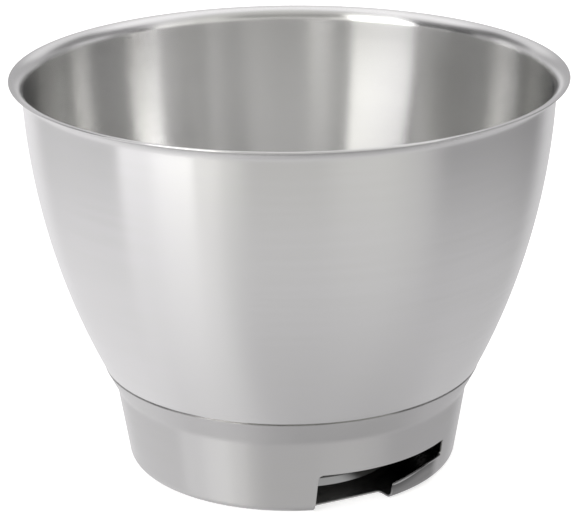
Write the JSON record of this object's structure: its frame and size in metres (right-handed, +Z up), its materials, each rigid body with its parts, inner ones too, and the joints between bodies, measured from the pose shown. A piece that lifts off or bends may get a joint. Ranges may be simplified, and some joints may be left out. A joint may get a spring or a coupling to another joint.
{
  "type": "stand mixer bowl",
  "caption": "Deep open bowl of brushed stainless steel with a flared lip, welded into a foot ring whose bayonet openings lock it on a stand mixer.",
  "frame": {"origin": "centre of the circle that the bowl stands on, at table level", "axes": "+Z up along the bowl's axis, towards the rim; the middle of one bayonet opening faces -Y"},
  "size_m": [0.2348, 0.2348, 0.1708],
  "materials": {
    "bowl_steel": "satin, brushed round the bowl",
    "foot_steel": "satin, finely brushed"
  },
  "bodies": {
    "root": {"bowl_shell": "bowl_steel", "foot_ring": "foot_steel"}
  },
  "joints": []
}
